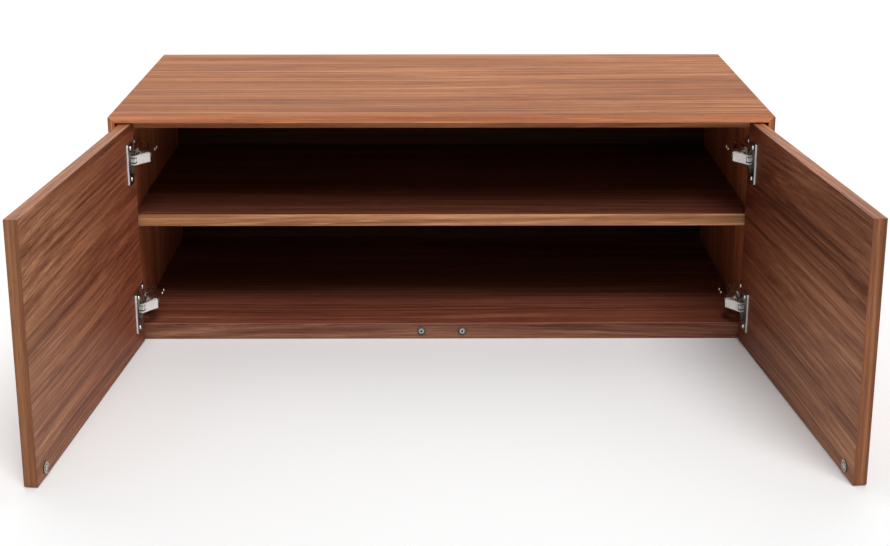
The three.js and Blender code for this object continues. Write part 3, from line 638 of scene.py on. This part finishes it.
for node, obj in frame["nodes"].items():
    for start, finish in FITTING_FINISHES.items():
        if node.startswith(start):
            obj.data.materials.clear()
            obj.data.materials.append(finish)

EASED = {
    "hinge_plate": 0.35 * MM,
    "hinge_arm": 0.3 * MM,
    "hinge_cup": 0.5 * MM,
    "outer_link": 0.3 * MM,
    "inner_link": 0.2 * MM,
}
for node in list(frame["nodes"]):
    for start, radius in EASED.items():
        if node.startswith(start):
            eased(node, FITTING_FINISHES[start], radius)

# ---------- Screws, strike plates and latch tips ----------

TURN_STEPS = 32
CROSS_CORE = 0.3
CROSS_REACH = 0.62
CROSS_ARM = 360 / TURN_STEPS
HEAD_TOP = 0.5
POINT = 0.4
CUP_SCREW_STEP = 24 * MM
CUP_SCREW_SETBACK = 13 * MM
PLATE_SCREW_HEAD = 2.2
DISC_RIM = 8.2 * MM
DISC_GROOVE = (3.75 * MM, 4.5 * MM)
TIP_HOLLOW = 3.6 * MM
TIP_EASING = 0.15 * MM

# Radii and heights in mm: a dome in shares of its head, and a strike plate with a raised rim and boss.
DOME = [(0, 1), (0.28, 0.99), (0.62, 0.92), (0.8, 0.76), (0.93, 0.5), (1, 0.2), (1, 0)]
DISC_PROFILE = [
    (1.9, 0), (8.5, 0), (8.5, 0.75), (8.3, 1.05), (7.9, 1.2), (7.1, 1.2), (6.7, 0.95),
    (4.7, 0.9), (4.3, 1.15), (3.75, 1.15), (1.9, 0.4), (1.9, 0),
]

# An arm screw's use, its distance from the arm's rear end and its head's radius, in mm.
ARM_SCREWS = (("fixing", 12.5, 3.3), ("adjusting", 25.5, 2.9))
TO_INNER_FACE = Matrix.Rotation(-math.pi / 2, 4, "X")
TO_INSIDE = Matrix.Rotation(math.pi / 2, 4, "Y")


def turned(profile):
    """A profile of radii and heights in mm turned about Z."""
    bm = bmesh.new()
    verts = [bm.verts.new((radius * MM, 0, height * MM)) for radius, height in profile]
    edges = [bm.edges.new(pair) for pair in zip(verts, verts[1:])]
    bmesh.ops.spin(
        bm, geom=verts + edges, axis=(0, 0, 1), cent=(0, 0, 0), dvec=(0, 0, 0), angle=2 * math.pi,
        steps=TURN_STEPS, use_merge=True, use_normal_flip=False, use_duplicate=False,
    )
    bmesh.ops.remove_doubles(bm, verts=bm.verts, dist=CUT_SLACK)
    bmesh.ops.recalc_face_normals(bm, faces=bm.faces)
    return bm


def cross_recess(bm, head_radius, depth):
    """Sinks a cross into the top of a turned head."""
    chosen = []
    for face in bm.faces:
        middle = face.calc_center_median()
        radius = middle.xy.length / head_radius
        bearing = math.degrees(math.atan2(middle.y, middle.x)) % 90
        in_arm = min(bearing, 90 - bearing) < CROSS_ARM
        in_cross = radius < CROSS_CORE or (radius < CROSS_REACH and in_arm)
        if face.normal.z > HEAD_TOP and in_cross:
            chosen.append(face)
    made = bmesh.ops.extrude_face_region(bm, geom=chosen)
    for item in made["geom"]:
        if isinstance(item, bmesh.types.BMFace):
            item.material_index = 1
    sunk = [item for item in made["geom"] if isinstance(item, bmesh.types.BMVert)]
    bmesh.ops.translate(bm, verts=sunk, vec=(0, 0, -depth))
    bmesh.ops.delete(bm, geom=chosen, context="FACES")


def pan_screw(head, height, shank, length):
    """A domed screw with a cross recess, its head's seat at 0 and its shank below. Sizes in mm."""
    point = min(shank, length / 3)
    profile = [(head * out, height * up) for out, up in DOME]
    profile += [(shank, 0), (shank, point - length), (POINT * shank, -length), (0, -length)]
    bm = turned(profile)
    cross_recess(bm, head * MM, 0.6 * height * MM)
    return bm


def flat_screw(head, cone, shank, length):
    """A countersunk screw with a cross recess, its top at 0. Sizes in mm."""
    profile = [(0, 0), (0.28 * head, 0), (0.62 * head, 0), (0.97 * head, 0), (head, -0.1)]
    profile += [(shank, -cone), (shank, shank - length), (POINT * shank, -length), (0, -length)]
    bm = turned(profile)
    cross_recess(bm, head * MM, 0.8 * MM)
    return bm


def set_in(bm, place):
    """Moves a fitting made at the origin to its place."""
    bmesh.ops.transform(bm, matrix=place, verts=bm.verts)
    bmesh.ops.recalc_face_normals(bm, faces=bm.faces)


def middle_of(low, high):
    return (low + high) / 2


SCREW_FINISHES = [zinc, recess_shade]

for hand in HANDS:
    door = door_place(hand)
    shell = hand_place(hand)
    for level in LEVELS:
        tag = f"{level}_{hand}"
        low, high = reach(door, f"hinge_cup_{tag}")
        for number, step in ((1, -CUP_SCREW_STEP), (2, CUP_SCREW_STEP)):
            at = Vector((high.x - CUP_SCREW_SETBACK, high.y, middle_of(low, high).z + step))
            bm = pan_screw(head=3.6, height=1.7, shank=2.0, length=2.4)
            set_in(bm, door @ Matrix.Translation(at) @ TO_INNER_FACE)
            piece(f"cup_screw_{number}_{tag}", bm, f"door_{hand}", SCREW_FINISHES)
            node = f"plate_screw_{number}_{tag}"
            low_screw, high_screw = reach(shell, node)
            at = middle_of(low_screw, high_screw)
            at.x = high_screw.x - PLATE_SCREW_HEAD * MM
            bm = pan_screw(head=3.8, height=PLATE_SCREW_HEAD, shank=1.8, length=11)
            set_in(bm, shell @ Matrix.Translation(at) @ TO_INSIDE)
            piece(f"{node}_crossed", bm, "carcass", SCREW_FINISHES, replaces=[node])
        low, high = reach(shell, f"hinge_arm_{tag}")
        for use, setback, head in ARM_SCREWS:
            at = Vector((high.x, high.y - setback * MM, middle_of(low, high).z))
            bm = pan_screw(head, height=1.3, shank=1.6, length=1.0)
            set_in(bm, shell @ Matrix.Translation(at) @ TO_INSIDE)
            piece(f"arm_{use}_screw_{tag}", bm, "carcass", SCREW_FINISHES)

    node = f"strike_plate_{hand}"
    low, high = reach(door, node)
    at = middle_of(low, high)
    at.y = low.y
    bm = turned(DISC_PROFILE)
    # The rim's edge and the ring at the boss get the near-black finish: painted shade along the disc's edge and in
    # its groove.
    for face in bm.faces:
        radius = face.calc_center_median().xy.length
        dark = radius > DISC_RIM or DISC_GROOVE[0] < radius < DISC_GROOVE[1]
        face.material_index = 1 if dark else 0
    set_in(bm, door @ Matrix.Translation(at) @ TO_INNER_FACE)
    piece(f"strike_disc_{hand}", bm, f"door_{hand}", [disc, painted_rim_shade], replaces=[node])

    node = f"strike_screw_{hand}"
    low, high = reach(door, node)
    at = middle_of(low, high)
    at.y = high.y
    bm = flat_screw(head=3.4, cone=1.6, shank=1.5, length=10.8)
    set_in(bm, door @ Matrix.Translation(at) @ TO_INNER_FACE)
    piece(f"{node}_crossed", bm, f"door_{hand}", SCREW_FINISHES, replaces=[node])

    node = f"latch_plunger_{hand}"
    low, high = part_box(node)
    axis = middle_of(low, high)
    bm = joined_up(node)
    soften(bm, sharp_arrises(bm), TIP_EASING, EASING_STEPS)
    # Faces close to the plunger's axis, down in its hole, get the near-black finish: painted shade.
    for face in bm.faces:
        out = face.calc_center_median() - axis
        out.y = 0
        face.material_index = 1 if out.length < TIP_HOLLOW else 0
    finishes = [pale_plastic, painted_hole_shade]
    piece(f"{node}_eased", bm, body_with(node), finishes, replaces=[node])

# ---------- Floor, light and camera ----------

FLOOR_REACH = 30
FLOOR_GAP = 0.5 * MM
BACKDROP_STRENGTH = 1.0
AIR_STRENGTH = 0.33
SENSOR_WIDTH = 36
LENS = 60.3
LENS_SHIFT = -0.14
EYE = Vector((-4, -2401, 895)) * MM
LOOKING_DOWN = 14.98
LOOKING_RIGHT = 0.235


def pale_floor():
    finish = Finish("pale_floor")
    at = finish.local()
    cloud = finish.noise(at, scale=1.5, detail=2)
    tint = finish.ramp(cloud, [(0.3, (0.86, 0.86, 0.86)), (0.7, (0.88, 0.88, 0.88))])
    return finish.surface(Base_Color=tint, Roughness=0.9)


def studio():
    """A pale floor, and air that looks white but lights the cabinet softly."""
    bm = bmesh.new()
    bmesh.ops.create_grid(bm, x_segments=1, y_segments=1, size=FLOOR_REACH)
    mesh = bpy.data.meshes.new("floor")
    bm.to_mesh(mesh)
    bm.free()
    mesh.materials.append(pale_floor())
    floor = bpy.data.objects.new("floor", mesh)
    floor.location.z = cad_box[0].z - FLOOR_GAP
    bpy.context.scene.collection.objects.link(floor)

    world = bpy.data.worlds.new("studio_air")
    bpy.context.scene.world = world
    world.use_nodes = True
    tree = world.node_tree
    tree.nodes.clear()
    path = tree.nodes.new("ShaderNodeLightPath")
    seen = tree.nodes.new("ShaderNodeBackground")
    seen.inputs["Strength"].default_value = BACKDROP_STRENGTH
    lit = tree.nodes.new("ShaderNodeBackground")
    lit.inputs["Strength"].default_value = AIR_STRENGTH
    shown = tree.nodes.new("ShaderNodeMath")
    shown.operation = "MAXIMUM"
    either = tree.nodes.new("ShaderNodeMixShader")
    out = tree.nodes.new("ShaderNodeOutputWorld")
    for background in (seen, lit):
        background.inputs["Color"].default_value = (1, 1, 1, 1)
    tree.links.new(path.outputs["Is Camera Ray"], shown.inputs[0])
    tree.links.new(path.outputs["Is Glossy Ray"], shown.inputs[1])
    tree.links.new(shown.outputs[0], either.inputs[0])
    tree.links.new(lit.outputs[0], either.inputs[1])
    tree.links.new(seen.outputs[0], either.inputs[2])
    tree.links.new(either.outputs[0], out.inputs["Surface"])


def lamp(name, azimuth, elevation, strength, width):
    """A distant soft lamp. Azimuth 0 stands in front and 90 at the right."""
    light = bpy.data.lights.new(name, "SUN")
    light.energy = strength
    light.angle = math.radians(width)
    obj = bpy.data.objects.new(name, light)
    around = Matrix.Rotation(math.radians(azimuth), 4, "Z")
    down = Matrix.Rotation(math.radians(90 - elevation), 4, "X")
    obj.matrix_world = around @ down
    bpy.context.scene.collection.objects.link(obj)


def camera():
    data = bpy.data.cameras.new("camera")
    data.sensor_width = SENSOR_WIDTH
    data.lens = LENS
    data.shift_y = LENS_SHIFT
    obj = bpy.data.objects.new("camera", data)
    obj.location = EYE
    obj.rotation_euler = (math.radians(90 - LOOKING_DOWN), 0, math.radians(-LOOKING_RIGHT))
    bpy.context.scene.collection.objects.link(obj)
    bpy.context.scene.camera = obj


studio()
lamp("key", azimuth=18, elevation=58, strength=2.2, width=34)
lamp("rear_fill", azimuth=188, elevation=42, strength=1.3, width=80)
camera()
bpy.context.scene.view_settings.view_transform = "Standard"
